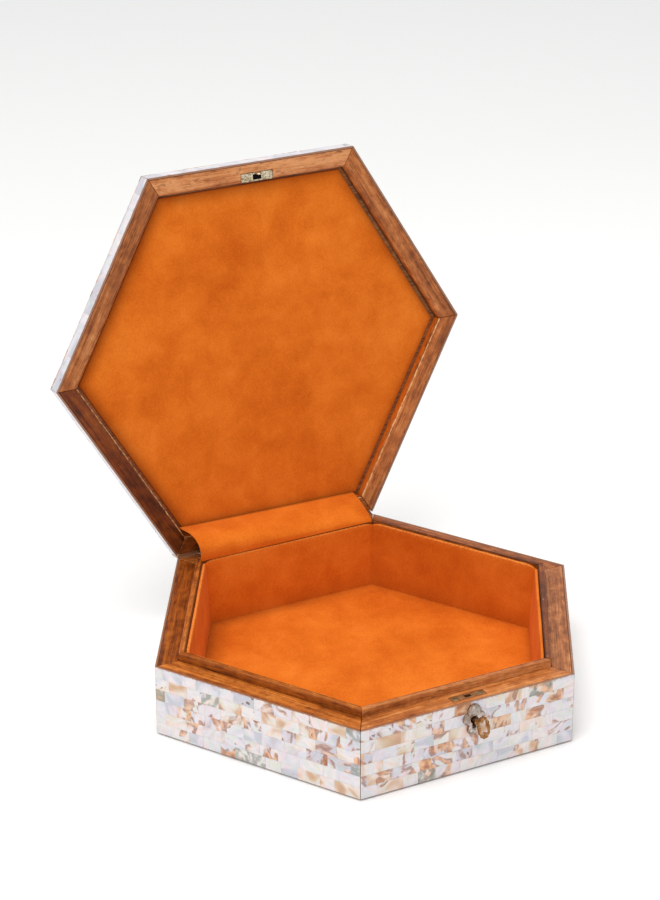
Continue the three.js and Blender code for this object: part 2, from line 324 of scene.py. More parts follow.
def paper_finish():
    """White background paper, a little greyer towards the back."""
    finish = Finish("white_paper", {"Roughness": 0.95, "Specular IOR Level": 0.1})
    _, depth, _ = finish.split(finish.place_in_mm())
    grain = finish.noise(finish.place_in_mm(), 0.02, 2.0)
    tone = depth * 0.001 + grain * 0.02
    finish.feed("Base Color", finish.ramp(tone, (0.0, 246, 246, 246), (0.9, 238, 239, 238)))
    return finish.material


def nacre_finish():
    """Polished mother-of-pearl. Each tile is cut from another place of the shell."""
    finish = Finish("nacre", {"IOR": 1.6, "Coat Weight": 0.25, "Coat Roughness": 0.15})
    across, up, from_rim = finish.split(finish.attribute("cut"))
    tone, turn, seed = finish.split(finish.attribute("tile"))

    def some_tiles(gate, start, end):
        """Opens on the tiles whose seed, times the gate, has its fraction past start."""
        return finish.rise((seed * gate).apply("FRACT"), start, end)

    angle = turn * math.tau
    cosine, sine = angle.apply("COSINE"), angle.apply("SINE")
    along = across * cosine + up * sine
    beside = up * cosine - across * sine
    shifted = finish.point(along * 0.6 + seed * 310, beside + seed * 170, seed * 90)
    cloud = finish.noise(shifted, 0.09, 1.0, 0.5, 0.8)
    fine = finish.noise(shifted, 0.30, 2.0)
    shade = finish.ramp(
        tone * 0.62 + (cloud - 0.5) * 1.1,
        (0.00, 198, 197, 206),
        (0.08, 214, 212, 220),
        (0.22, 224, 220, 224),
        (0.42, 231, 225, 222),
        (0.56, 230, 214, 200),
        (0.70, 212, 172, 138),
        (0.90, 166, 110, 72),
    )
    ripple = (beside * 1.1 + cloud * 20).apply("SINE")
    shade = finish.mix(finish.rise(ripple, 0.1, 1.0) * 0.12, shade, colour(208, 180, 166))
    pearl_tint = finish.ramp(
        finish.noise(shifted, 0.14, 1.0, 0.5, 1.4),
        (0.36, 240, 214, 222),
        (0.46, 242, 240, 238),
        (0.54, 218, 222, 238),
        (0.64, 212, 230, 216),
    )
    shade = finish.mix(0.45, shade, pearl_tint, "MULTIPLY")
    tan = finish.rise(finish.noise(shifted, 0.12, 1.0, 0.5, 1.0), 0.47, 0.63)
    tan = tan * some_tiles(TAN_GATE, 0.52, 0.80)
    tan_shade = finish.ramp(fine, (0.36, 228, 172, 124), (0.62, 158, 88, 42))
    shade = finish.mix(tan * 0.9, shade, tan_shade)
    tan_edge = finish.fall((tan - 0.45).apply("ABSOLUTE"), 0.05, 0.40) * finish.rise(fine, 0.40, 0.56)
    shade = finish.mix(tan_edge * 0.6, shade, colour(126, 70, 32))
    arcs = finish.fall((cloud - 0.5).apply("ABSOLUTE"), 0.005, 0.060) * finish.rise(fine, 0.44, 0.56)
    shade = finish.mix(arcs * some_tiles(7.3, 0.84, 0.86) * 0.85, shade, colour(148, 84, 40))
    smoke = finish.rise(fine, 0.36, 0.60) * some_tiles(29.3, 0.95, 0.96)
    shade = finish.mix(smoke * 0.8, shade, colour(128, 134, 124))
    pits = finish.fall(fine, 0.29, 0.35) * some_tiles(41.9, 0.92, 0.93)
    shade = finish.mix(pits * 0.9, shade, colour(96, 66, 46))
    ragged = finish.fall(from_rim + (finish.noise(shifted, 0.6) - 0.5) * 4.0, 0.1, 1.0)
    shade = finish.mix(ragged * 0.55, shade, colour(150, 104, 66))
    shade = finish.mix(finish.fall(from_rim, 0.14, 0.45) * 0.85, shade, colour(138, 84, 42))
    finish.feed("Base Color", shade)
    finish.feed("Roughness", 0.2 + cloud * 0.22)
    finish.bump(ripple * 0.2 + fine, 0.2, 0.12)
    return finish.material


def joint_finish():
    """The pale brown filler that shows in the joints between tiles."""
    finish = Finish("tile_filler", {"Roughness": 0.7})
    grit = finish.noise(finish.place_in_mm(), 1.2, 3.0)
    _, _, from_rim = finish.split(finish.attribute("cut"))
    shade = finish.ramp(grit, (0.35, 190, 168, 150), (0.65, 216, 202, 190))
    shade = finish.mix(finish.fall(from_rim, 0.2, 0.5), shade, colour(138, 84, 42))
    finish.feed("Base Color", shade)
    finish.bump(grit, 0.3, 0.1)
    return finish.material


def wood_finish():
    """Waxed brown hardwood. Each board carries its own grain and tint, arrises lightened by wear and painted
    highlight, and lines of painted shade.
    """
    finish = Finish("wood", {
        "IOR": 1.42, "Specular IOR Level": 0.35, "Coat Weight": 0.06, "Coat Roughness": 0.25,
    })
    along, outward, up = finish.split(finish.attribute("grain"))
    pink, dark, seed = finish.split(finish.attribute("board"))
    wear_highlight, shade_lines, lined = finish.split(finish.attribute("arris"))
    start = along + seed * 700
    fibre = finish.noise(finish.point(start * 0.045, outward, up), 1.5, 4.0, 0.6)
    streak = finish.noise(finish.point(start * 0.03, outward * 0.6, up * 0.6), 0.45, 2.0, 0.5, 0.5)
    blotch = finish.noise(finish.point(start, outward, up), 0.13, 3.0, 0.6)
    tone = fibre * 0.36 + streak * 0.34 + blotch * 0.30 - dark * 0.05
    warm = finish.ramp(
        tone,
        (0.36, 98, 44, 4),
        (0.45, 154, 76, 12),
        (0.53, 188, 102, 26),
        (0.62, 208, 128, 50),
    )
    rosy = finish.ramp(
        tone,
        (0.36, 104, 54, 26),
        (0.46, 152, 90, 48),
        (0.54, 184, 118, 72),
        (0.63, 210, 150, 104),
    )
    shade = finish.mix(pink, warm, rosy)
    shade = finish.mix(dark, shade, finish.mix(1.0, shade, colour(166, 146, 104), "MULTIPLY"))
    pore = finish.noise(finish.point(start * 0.16, outward * 2.0, up * 2.0), 1.3, 2.0)
    shade = finish.mix(finish.rise(pore, 0.58, 0.68) * 0.55, shade, colour(62, 34, 14))
    stain = finish.noise(finish.point(start * 0.5, outward, up), 0.30, 3.0, 0.6)
    shade = finish.mix(finish.rise(stain, 0.56, 0.72) * 0.6, shade, colour(92, 50, 20))
    rub = finish.noise(finish.point(start * 0.4, outward, up), 0.8, 3.0, 0.7)
    # Painted highlight: a pale colour along the wear lines, partly real wear and partly light catching the
    # rounded arrises.
    bare_and_highlit = finish.fall(wear_highlight + (rub - 0.5) * 2.2, 0.10, 0.45)
    shade = finish.mix(bare_and_highlit * 0.75, shade, colour(228, 184, 126))
    # Painted shade: a dark colour along the shade lines, in the lid's recess and at the lips' inner top
    # edge.
    painted_shade = finish.fall(shade_lines + (rub - 0.5) * 1.6, 0.3, 1.0)
    shade = finish.mix(painted_shade * 0.85, shade, colour(62, 32, 10))
    glued_suede = finish.ramp(rub, (0.35, 176, 78, 10), (0.65, 206, 100, 22))
    shade = finish.mix(lined, shade, glued_suede)
    finish.feed("Base Color", shade)
    finish.feed("Roughness", 0.34 + fibre * 0.3)
    finish.bump(fibre + pore * -0.5, 0.35, 0.25)
    return finish.material


def plain_wood_finish():
    """Plainer hardwood for the boards that hardly show, with its grain along X."""
    finish = Finish("plain_wood", {"IOR": 1.45})
    x, y, z = finish.split(finish.place_in_mm())
    fibre = finish.noise(finish.point(x * 0.05, y, z), 0.9, 4.0, 0.6)
    cloud = finish.noise(finish.point(x * 0.3, y, z), 0.05, 2.0)
    shade = finish.ramp(fibre * 0.7 + cloud * 0.3, (0.38, 96, 54, 24), (0.62, 166, 106, 58))
    finish.feed("Base Color", shade)
    finish.feed("Roughness", 0.5 + fibre * 0.2)
    finish.bump(fibre, 0.3, 0.2)
    return finish.material


def suede_finish():
    """Orange suede with a mottled nap."""
    finish = Finish("suede", {
        "Roughness": 0.95, "Specular IOR Level": 0.1, "Sheen Weight": 0.03, "Sheen Roughness": 0.5,
        "Sheen Tint": colour(255, 214, 180),
    })
    place = finish.place_in_mm()
    brushed = finish.noise(place, 0.020, 2.0, 0.5, 0.4)
    handled = finish.noise(place, 0.07, 3.0, 0.55, 0.3)
    nap = finish.noise(place, 0.9, 4.0, 0.75)
    tone = brushed * 0.36 + handled * 0.26 + nap * 0.38
    shade = finish.ramp(
        tone,
        (0.36, 194, 89, 16),
        (0.50, 216, 110, 27),
        (0.64, 231, 128, 42),
    )
    dim, wear_and_highlight, shadow_share = finish.split(finish.attribute("age"))
    # Painted shade: dim darkens the suede of a whole liner or pad.
    shade = finish.mix(dim, shade, finish.mix(1.0, shade, colour(214, 206, 200), "MULTIPLY"))
    # Painted highlight: a lighter nap along the liners' top edges, partly wear.
    shade = finish.mix(wear_and_highlight * finish.rise(nap, 0.38, 0.62) * 0.6, shade, colour(242, 166, 90))
    # Painted shade: dark brown at the liners' feet, along the pads' edges and in the flap's crease.
    shade = finish.mix(shadow_share * 0.7, shade, colour(122, 50, 6))
    finish.feed("Base Color", shade)
    finish.bump(nap + handled * 0.4, 0.4, 0.3)
    return finish.material


def metal_finish(name, bright, dull, tarnish, roughness):
    """Dull metal with tarnish in clouds, brown in the places marked as aged, and black as painted shade in
    the deepest.
    """
    finish = Finish(name, {"Metallic": 1.0})
    place = finish.place_in_mm()
    cloud = finish.noise(place, 0.30, 3.0, 0.6, 0.5)
    spots = finish.noise(place, 0.85, 2.0, 0.6)
    browned, _, deep_shade = finish.split(finish.attribute("age"))
    shade = finish.ramp(cloud, (0.38, *dull), (0.60, *bright))
    shade = finish.mix(finish.rise(spots, 0.50, 0.66) * 0.7, shade, colour(*tarnish))
    shade = finish.mix(browned * finish.rise(spots, 0.3, 0.6), shade, colour(128, 88, 50))
    shade = finish.mix(deep_shade, shade, colour(22, 20, 20))
    finish.feed("Base Color", shade)
    finish.feed("Roughness", roughness + spots * 0.25)
    finish.bump(cloud + spots * 0.4, 0.25, 0.15)
    return finish.material


# Mesh helpers

def turn_faces_out(obj):
    """Turns the faces of every closed part of a mesh outwards."""
    sculpt = bmesh.new()
    sculpt.from_mesh(obj.data)
    bmesh.ops.recalc_face_normals(sculpt, faces=sculpt.faces)
    sculpt.to_mesh(obj.data)
    sculpt.free()


def mesh_object(name, points, faces, material=None):
    """A mesh of one or more closed parts, with its faces turned outwards."""
    mesh = bpy.data.meshes.new(name)
    mesh.from_pydata(points, [], faces)
    if material:
        mesh.materials.append(material)
    obj = bpy.data.objects.new(name, mesh)
    bpy.context.scene.collection.objects.link(obj)
    turn_faces_out(obj)
    return obj


def carry_list(obj, name, triples):
    """Stores three numbers at each vertex."""
    layer = obj.data.attributes.new(name, "FLOAT_VECTOR", "POINT")
    layer.data.foreach_set("vector", [value for triple in triples for value in triple])


def carry(obj, name, numbers):
    """Stores three numbers at each vertex, worked out from its place in millimetres."""
    carry_list(obj, name, [numbers(vertex.co) for vertex in obj.data.vertices])


def settle(obj, body, nodes=(), side=0, crease=35):
    """Moves a finished mesh to its side in the row frame, smooths it and hangs it on its body."""
    obj.data.transform(side_matrix(side, body))
    obj.data.shade_smooth()
    obj.data.set_sharp_from_angle(angle=math.radians(crease))
    if body:
        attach(obj, body)
    if nodes:
        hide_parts(*nodes)


def block(low, high):
    """A plain block between two corners, for cutting."""
    points = [(x, y, z) for x in (low[0], high[0]) for y in (low[1], high[1]) for z in (low[2], high[2])]
    faces = [(0, 1, 3, 2), (4, 6, 7, 5), (0, 4, 5, 1), (2, 3, 7, 6), (0, 2, 6, 4), (1, 5, 7, 3)]
    return mesh_object("cutter", points, faces)


def cut_away(obj, cutters):
    """Cuts blocks out of a mesh and removes them."""
    for cutter in cutters:
        modifier = obj.modifiers.new("cut", "BOOLEAN")
        modifier.operation = "DIFFERENCE"
        modifier.solver = "EXACT"
        modifier.object = cutter
    evaluated = obj.evaluated_get(bpy.context.evaluated_depsgraph_get())
    cut_mesh = bpy.data.meshes.new_from_object(evaluated)
    obj.modifiers.clear()
    obj.data = cut_mesh
    for cutter in cutters:
        bpy.data.objects.remove(cutter)


def spread(start, end, step):
    """Evenly spaced numbers from start to end, about a step apart."""
    count = max(1, math.ceil(abs(end - start) / step))
    return [start + (end - start) * index / count for index in range(count + 1)]


def between(start, end, share):
    """The point at a share of the way from start to end."""
    return tuple(a + (b - a) * share for a, b in zip(start, end))


def ring_faces(first, second, count):
    """Faces between two closed rings of points."""
    return [(first + k, first + (k + 1) % count, second + (k + 1) % count, second + k) for k in range(count)]


def skin(rings, closed=False):
    """Points and faces over rings of points. The two ends are capped, or meet if it is closed."""
    count = len(rings[0])
    points = [point for ring in rings for point in ring]
    faces = []
    for index in range(len(rings) if closed else len(rings) - 1):
        faces += ring_faces(index * count, (index + 1) % len(rings) * count, count)
    if not closed:
        faces += [tuple(range(count)), tuple(range(len(points) - count, len(points)))]
    return points, faces


def shifted_faces(faces, first):
    """Faces whose points are now counted from first."""
    return [tuple(first + index for index in face) for face in faces]


def rounded_section(span, radii, step):
    """Points (outward, up) round a board's section, from its lower outer arris.
    The radii are for the lower outer, upper outer, upper inner and lower inner arris."""
    arc_steps = 4
    corners = (
        (span.outer, span.low, -1, 1), (span.outer, span.high, -1, -1),
        (span.inner, span.high, 1, -1), (span.inner, span.low, 1, 1),
    )
    outline = []
    for index, ((outward, up, inwards, upwards), radius) in enumerate(zip(corners, radii)):
        centre = (outward + inwards * radius, up + upwards * radius)
        for arc in range(arc_steps + 1):
            angle = math.radians(90 * (index - 1 + arc / arc_steps))
            outline.append((centre[0] + radius * math.cos(angle), centre[1] + radius * math.sin(angle)))
    section = []
    for start, end in zip(outline, outline[1:] + outline[:1]):
        count = max(1, math.ceil(math.dist(start, end) / step))
        section += [between(start, end, index / count) for index in range(count)]
    return section


def sweep_board(name, span, section, ease, step, shape, material):
    """A section swept along the front side between its mitres, with eased ends.
    shape moves each point (x, outward, up) a little."""
    trim = board_trim(span)
    middle = [sum(spot[axis] for spot in section) / len(section) for axis in (0, 1)]
    shares = spread(-1 + ease / span.half, 1 - ease / span.half, step / span.half)
    rings = []
    for share, shrink in [(-1, ease), *((share, 0) for share in shares), (1, ease)]:
        ring = []
        for spot in section:
            reach = max(math.dist(spot, middle), shrink)
            outward, up = between(middle, spot, 1 - shrink / reach)
            x, outward, up = shape(share * (outward * TAN30 - trim), outward, up)
            ring.append((x, -outward, up))
        rings.append(ring)
    return mesh_object(name, *skin(rings), material)


# Wood boards

Board = namedtuple("Board", "pink dark seed")
BOARD_STEP = 2.4
BOARD_END_EASE = 0.25
ARRIS_WEAR = 0.12
RECESS_ROUNDING = 2.2
WALL_RADII = (0.3, 0.35, 0.05, 0.3)
LIP_RADII = (0.3, 0.45, 0.4, 0.3)
RIM_RADII = (0.35, 0.3, 0.3, RECESS_ROUNDING)
HINGE_FILL = 0.3
LID_BACK_FILL = 1.2
HINGE_ROOM = 0.35
BARREL_ROOM = 2.3
CATCH_DEPTH = 5.6


def worn_shape(seed):
    """Small hollows and scuffed arrises, the same on each run."""
    def shape(x, outward, up):
        dent = noise.noise(Vector((x * 0.11 + seed * 40, outward * 0.35, up * 0.35)))
        rub = noise.noise(Vector((x * 0.45 - seed * 17, outward * 0.8, up * 0.8)))
        return x, outward + (dent * 0.5 + rub * 0.5) * ARRIS_WEAR, up + (dent - rub) * ARRIS_WEAR * 0.5
    return shape


def nearest(lines):
    """How far a point is from the nearest of some lines along a board, given as (outward, up)."""
    def distance(point):
        return min((math.dist((-point.y, point.z), line) for line in lines), default=FAR)
    return distance


def wood_board(name, span, look, side, body, radii, wear_and_highlight=(), shade_lines=(), cutters=(), lined=False):
    """A mitred board with its own grain, lightened along some arrises by wear and painted highlight, and
    darkened along other lines by painted shade.
    A lined board has suede glued over its inner face, above the rounding."""
    section = rounded_section(span, radii, BOARD_STEP)
    shape = worn_shape(look.seed)
    board = sweep_board(name + "_wood", span, section, BOARD_END_EASE, BOARD_STEP, shape, WOOD)
    if cutters:
        cut_away(board, cutters)
    wear_highlight_at, shade_lines_at = nearest(wear_and_highlight), nearest(shade_lines)

    def arris(point):
        covered = lined and -point.y < span.inner + 0.15 and point.z > span.low + RECESS_ROUNDING
        return wear_highlight_at(point), shade_lines_at(point), float(covered)

    carry(board, "grain", lambda point: (point.x, -point.y, point.z))
    carry(board, "board", lambda point: look)
    carry(board, "arris", arris)
    settle(board, body, [name], side)


WALL_LOOKS = {
    "front": Board(0.4, -0.7, 0.11), "front_right": Board(0.85, 0.1, 0.27),
    "back_right": Board(0.5, 0.3, 0.36), "back": Board(0.3, 0.2, 0.49),
    "back_left": Board(0.0, 0.5, 0.58), "front_left": Board(0.1, -0.2, 0.72),
}
LIP_LOOKS = {
    "front": Board(0.5, -0.6, 0.15), "front_right": Board(0.3, 0.7, 0.22),
    "back_right": Board(0.2, 0.4, 0.33), "back": Board(0.3, 0.3, 0.44),
    "back_left": Board(0.2, 0.1, 0.55), "front_left": Board(0.0, 0.35, 0.66),
}
LID_LOOKS = {
    "front": Board(0.7, -1.8, 0.81), "front_right": Board(0.5, 0.15, 0.92),
    "back_right": Board(0.4, 0.0, 0.13), "back": Board(0.2, 0.5, 0.24),
    "back_left": Board(0.0, 0.95, 0.35), "front_left": Board(0.6, 0.25, 0.46),
}


def keyhole_centre():
    """Where the key's shank enters the front, across and up."""
    low, high = shut_box("key")
    return (low.x + high.x) / 2, (low.z + high.z) / 2


def lock_seat():
    """Room in the front wall for the lock's plate, for its case below and for the key."""
    low, high = shut_box("lock")
    room = 0.3
    plate_depth = 1.35
    case_inset = 3.0
    keyway_drop = 5.4
    plate = block((low.x - room, low.y - room, high.z - plate_depth),
                  (high.x + room, high.y + room, high.z + 2))
    case = block((low.x + case_inset, low.y + room, low.z - room),
                 (high.x - case_inset, high.y - room, high.z + 1))
    key_x, key_z = keyhole_centre()
    wall_face = -front_span("wall_front").outer
    keyway = block((key_x - KEYHOLE_RADIUS, wall_face - 1, key_z - keyway_drop),
                   (key_x + KEYHOLE_RADIUS, low.y + 1, key_z + KEYHOLE_RADIUS))
    return [plate, case, keyway]


def hinge_seats(body):
    """Room on the back side for the two hinges, in that side's own frame."""
    ledge = front_span("wall_front").high
    bottom, top = (ledge - 2, ledge + 1.8) if body == "lid" else (ledge - 1.4, ledge + 2)
    seats = []
    for hand in ("left", "right"):
        leaf_low, leaf_high = shut_box(f"hinge_{body}_leaf_{hand}")
        pin_low, pin_high = shut_box(f"hinge_pin_{hand}")
        left, right = -pin_high.x - HINGE_ROOM, -pin_low.x + HINGE_ROOM
        seats.append(block((left, -leaf_high.y, bottom), (right, -leaf_low.y + HINGE_ROOM, top)))
        seats.append(block((left, -HINGE_Y - 3, HINGE_Z - BARREL_ROOM),
                           (right, -HINGE_Y + BARREL_ROOM, HINGE_Z + BARREL_ROOM)))
    return seats


def make_walls():
    """The six walls and the six lips inside them."""
    lip = front_span("lip_front")
    # Each lip gets a light line on its top, wear and painted highlight, and a dark line at its inner top
    # edge, painted shade.
    lip_wear_highlight, lip_shade_line = (lip.inner + 1.2, lip.high), (lip.inner, lip.high)
    for index, side in enumerate(SIDE_NAMES):
        wall = front_span("wall_front")
        cutters = []
        if side == "front":
            cutters = lock_seat()
        if side == "back":
            cutters = hinge_seats("box")
            wall = wall._replace(high=wall.high + HINGE_FILL / 2)
        wood_board(f"wall_{side}", wall, WALL_LOOKS[side], index, "box", WALL_RADII, cutters=cutters)
        wood_board(f"lip_{side}", lip, LIP_LOOKS[side], index, "box", LIP_RADII, [lip_wear_highlight], [lip_shade_line])


def catch_seat(rim):
    """Room for the catch's plate in the lid's front rim."""
    low, high = shut_box("catch")
    room = 0.25
    plate_depth = 1.4
    inner = -rim.inner - CATCH_DEPTH - room
    return block((low.x - room, inner, rim.low - 1), (high.x + room, high.y + 9, rim.low + plate_depth))


def make_lid_rims():
    """The lid's six mitred rim boards, rounded over into the recess."""
    rim = front_span("lid_rim_front")
    rounded = RECESS_ROUNDING * (1 - math.sqrt(0.5))
    wear_highlight_line = (rim.inner + rounded, rim.low + rounded)
    for index, side in enumerate(SIDE_NAMES):
        cutters = []
        shadow_drops = (0.0,)
        if side == "front":
            cutters = [catch_seat(rim)]
        # Painted shade: the front right rim's inner face gets four dark lines and no suede, so it reads
        # dark.
        if side == "front_right":
            shadow_drops = (0.0, 0.9, 1.8, 2.7)
        if side == "back":
            cutters = hinge_seats("lid")
        # The pale line on the rounded inner arris of the back rims is wear and painted highlight.
        wear_and_highlight = [wear_highlight_line] if side.startswith("back") else []
        # Painted shade: a dark line where the recess is deepest, on every side.
        recess_shadow = [(rim.inner, rim.high - drop) for drop in shadow_drops]
        wood_board(f"lid_rim_{side}", rim, LID_LOOKS[side], index, "lid", RIM_RADII, wear_and_highlight,
                   recess_shadow, cutters, lined=side != "front_right")


# Mother-of-pearl tiles

COURSES_ON_WALL = 6
TILE_LENGTHS = (9.5, 16.5)
SHORTEST_TILE = 4
SMALLEST_TILE = 0.8
TILE_JOINT = 0.10
TILE_EASE = 0.07
TILE_DEPTH = 1.15
TILE_TILT = 0.03
TILE_HALF = (7, 4)
MITRE_EASE = 0.15
BACKING_SINK = 0.10
SHELL_WARMTH = {"front": 0.16, "front_left": 0.14}
WALL_SEED, LID_EDGE_SEED, LID_TOP_SEED = 40, 60, 80


def drawn_in(value, centre, inset, size):
    """A corner's place moved towards the tile's centre. Small tiles shrink evenly."""
    reach = abs(value - centre)
    if size < SHORTEST_TILE:
        keep = 1 - 2 * inset / size
    elif reach > inset:
        keep = 1 - inset / reach
    else:
        keep = 0.5
    return centre + (value - centre) * keep


class TileField:
    """Tiles laid on one panel. Corners are (across, up) in millimetres on the panel's face."""

    def __init__(self, seed, warmth=0.0, calm=False):
        self.draw = random.Random(seed)
        self.warmth = warmth
        self.calm = calm
        self.points, self.faces, self.cuts, self.tiles = [], [], [], []

    def tile_look(self):
        """Tone, turn and seed. A plain, shaded field keeps the tones low and the tan patches' gate nearly
        shut: plainer shell, and greyer and darker tiles as painted shade.
        """
        tone = self.draw.random() ** 1.25 * 0.94 + self.warmth * self.draw.random()
        turn, seed = self.draw.random(), self.draw.random()
        if self.calm:
            # Painted shade: the lid's edge tiles keep low tones, partly plainer shell and partly shade.
            tone *= 0.25
            seed = (math.floor(seed * 13) + self.draw.random() * 0.55) / TAN_GATE
        return min(1.0, tone), turn, seed

    def add(self, corners, rim):
        """One tile with eased edges. rim gives a point's distance from the panel's scuffed edge."""
        look = self.tile_look()
        centre = [sum(corner[axis] for corner in corners) / len(corners) for axis in (0, 1)]
        size = min(max(c[axis] for c in corners) - min(c[axis] for c in corners) for axis in (0, 1))
        if size < SMALLEST_TILE:
            return
        tilt = [(self.draw.random() - 0.5) * TILE_TILT / half for half in TILE_HALF]
        edge = TILE_JOINT / 2
        rings = []
        for inset, height in ((edge + TILE_EASE, 0.0), (edge, -TILE_EASE), (edge, -TILE_DEPTH)):
            ring = []
            for corner in corners:
                across, up = [drawn_in(corner[axis], centre[axis], inset, size) for axis in (0, 1)]
                lean = tilt[0] * (across - centre[0]) + tilt[1] * (up - centre[1])
                ring.append((across, up, min(0.0, height + lean) if height > -TILE_DEPTH else height))
            rings.append(ring)
        points, faces = skin(rings)
        self.faces += shifted_faces(faces, len(self.points))
        self.points += points
        self.cuts += [(across, up, rim(across, up)) for across, up, _ in points]
        self.tiles += [look] * len(points)

    def build(self, place):
        """The tiles as one mesh. place turns (across, up, out) into a point in millimetres."""
        obj = mesh_object("laid_tiles", [place(*point) for point in self.points], self.faces, NACRE)
        carry_list(obj, "cut", self.cuts)
        carry_list(obj, "tile", self.tiles)
        return obj


def running_bond(draw, left, right, low, high, courses):
    """Brick rows of tiles as (left, low, right, high), each row starting at its own place."""
    height = (high - low) / courses
    rows = []
    for row in range(courses):
        edge = left
        width = draw.uniform(*TILE_LENGTHS) * (0.45 if row % 2 else 0.9)
        while edge < right:
            end = edge + width
            if right - end < SHORTEST_TILE:
                end = right
            rows.append((edge, low + row * height, end, low + (row + 1) * height))
            edge = end
            width = draw.uniform(*TILE_LENGTHS)
    return rows


def without_hole(tile, hole):
    """What is left of a tile round a rectangular hole, as up to four tiles."""
    left, low, right, high = tile
    hole_left, hole_low, hole_right, hole_high = hole
    if hole_left >= right or hole_right <= left or hole_low >= high or hole_high <= low:
        return [tile]
    rest = []
    if hole_left > left:
        rest.append((left, low, hole_left, high))
    if hole_right < right:
        rest.append((hole_right, low, right, high))
    inner_left, inner_right = max(left, hole_left), min(right, hole_right)
    if hole_low > low:
        rest.append((inner_left, low, inner_right, hole_low))
    if hole_high < high:
        rest.append((inner_left, hole_high, inner_right, high))
    return rest


def join(objects, name):
    """Joins meshes into the first one."""
    with bpy.context.temp_override(active_object=objects[0], selected_editable_objects=objects):
        bpy.ops.object.join()
    objects[0].name = name
    return objects[0]


def rectangle(left, low, right, high):
    return [(left, low), (right, low), (right, high), (left, high)]


def side_panel(name, span, side, body, seed, rim_height, courses,
               warmth=0.0, holes=(), cutters=(), stained_ends=False):
    """Tiles and their backing board on one side of the box or of the lid.
    The scuffed edge lies at rim_height, and at both ends too if they are stained."""
    trim = board_trim(span)

    def from_rim(across, up):
        from_end = span.half - abs(across) if stained_ends else FAR
        return min(abs(up - rim_height), from_end)

    def on_panel(across, up, out):
        limit = (span.outer + out) * TAN30 - trim
        limit -= MITRE_EASE * max(0.0, 1 + out / TILE_EASE)
        return max(-limit, min(limit, across)), -(span.outer + out), up

    field = TileField(seed, warmth, calm=body == "lid")
    for tile in running_bond(field.draw, -span.half, span.half, span.low, span.high, courses):
        pieces = [tile]
        for hole in holes:
            pieces = [rest for piece in pieces for rest in without_hole(piece, hole)]
        for piece in pieces:
            field.add(rectangle(*piece), from_rim)
    tiles = field.build(on_panel)
    inner = span._replace(outer=span.outer - BACKING_SINK, low=span.low + BACKING_SINK,
                          high=span.high - BACKING_SINK, half=span.half - BACKING_SINK * TAN30)
    ease, step = 0.05, 6
    section = rounded_section(inner, (ease, ease, ease, ease), step)
    backing = sweep_board(name + "_backing", inner, section, ease, step, lambda *point: point, FILLER)
    if cutters:
        cut_away(backing, cutters)
    carry(backing, "cut", lambda point: (point.x, point.z, abs(point.z - rim_height) - BACKING_SINK))
    panel = join([tiles, backing], name + "_tiles")
    settle(panel, body, [name], side, crease=20)


def hinge_notches(low, high):
    """Where the barrels pass the tiles of the back side, as (left, low, right, high)."""
    notches = []
    for hand in ("left", "right"):
        pin_low, pin_high = shut_box(f"hinge_pin_{hand}")
        notches.append((-pin_high.x - HINGE_ROOM, low, -pin_low.x + HINGE_ROOM, high))
    return notches


def make_shell_walls():
    """The six tiled panels on the walls."""
    key_x, key_z = keyhole_centre()
    hole_half, hole_drop = 2.5, 5.5
    keyhole = (key_x - hole_half, key_z - hole_drop, key_x + hole_half, key_z + hole_half)
    for index, side in enumerate(SIDE_NAMES):
        span = front_span("shell_front")
        holes, cutters = [], []
        if side == "front":
            holes = [keyhole]
            left, low, right, high = keyhole
            cutters = [block((left, -span.outer - 1, low), (right, -span.inner + 1, high))]
        if side == "back":
            holes = hinge_notches(HINGE_Z - BARREL_ROOM, span.high + 1)
            cutters = hinge_seats("box")
            span = span._replace(high=span.high + HINGE_FILL)
        side_panel(f"shell_{side}", span, index, "box", WALL_SEED + index, span.high, COURSES_ON_WALL,
                   SHELL_WARMTH.get(side, 0.0), holes, cutters)


def make_lid_shell():
    """The lid's six edge strips of tiles and its tiled top."""
    for index, side in enumerate(SIDE_NAMES):
        span = front_span("lid_shell_front")
        holes, cutters = [], []
        if side == "back":
            holes = hinge_notches(span.low - 1, HINGE_Z + BARREL_ROOM)
            cutters = hinge_seats("lid")
            span = span._replace(outer=span.outer + LID_BACK_FILL)
        side_panel(f"lid_shell_{side}", span, index, "lid", LID_EDGE_SEED + index, span.low, 1,
                   holes=holes, cutters=cutters, stained_ends=side == "back")
    make_lid_top()


def six_directions(start):
    """Six directions 60 degrees apart, the first at start degrees."""
    angles = [math.radians(60 * k + start) for k in range(6)]
    return [(math.cos(angle), math.sin(angle)) for angle in angles]


def hexagon(face):
    """Corners of a hexagon with faces that far from its centre."""
    reach = face / math.cos(math.radians(30))
    return [(reach * x, reach * y) for x, y in six_directions(0)]


def clip_to_hexagon(corners, face):
    """The part of a convex outline inside a hexagon."""
    for normal in six_directions(30):
        kept = []
        for start, end in zip(corners, corners[1:] + corners[:1]):
            room_at_start = face - start[0] * normal[0] - start[1] * normal[1]
            room_at_end = face - end[0] * normal[0] - end[1] * normal[1]
            if room_at_start >= 0:
                kept.append(start)
            if room_at_start * room_at_end < 0:
                kept.append(between(start, end, room_at_start / (room_at_start - room_at_end)))
        corners = kept
    return corners


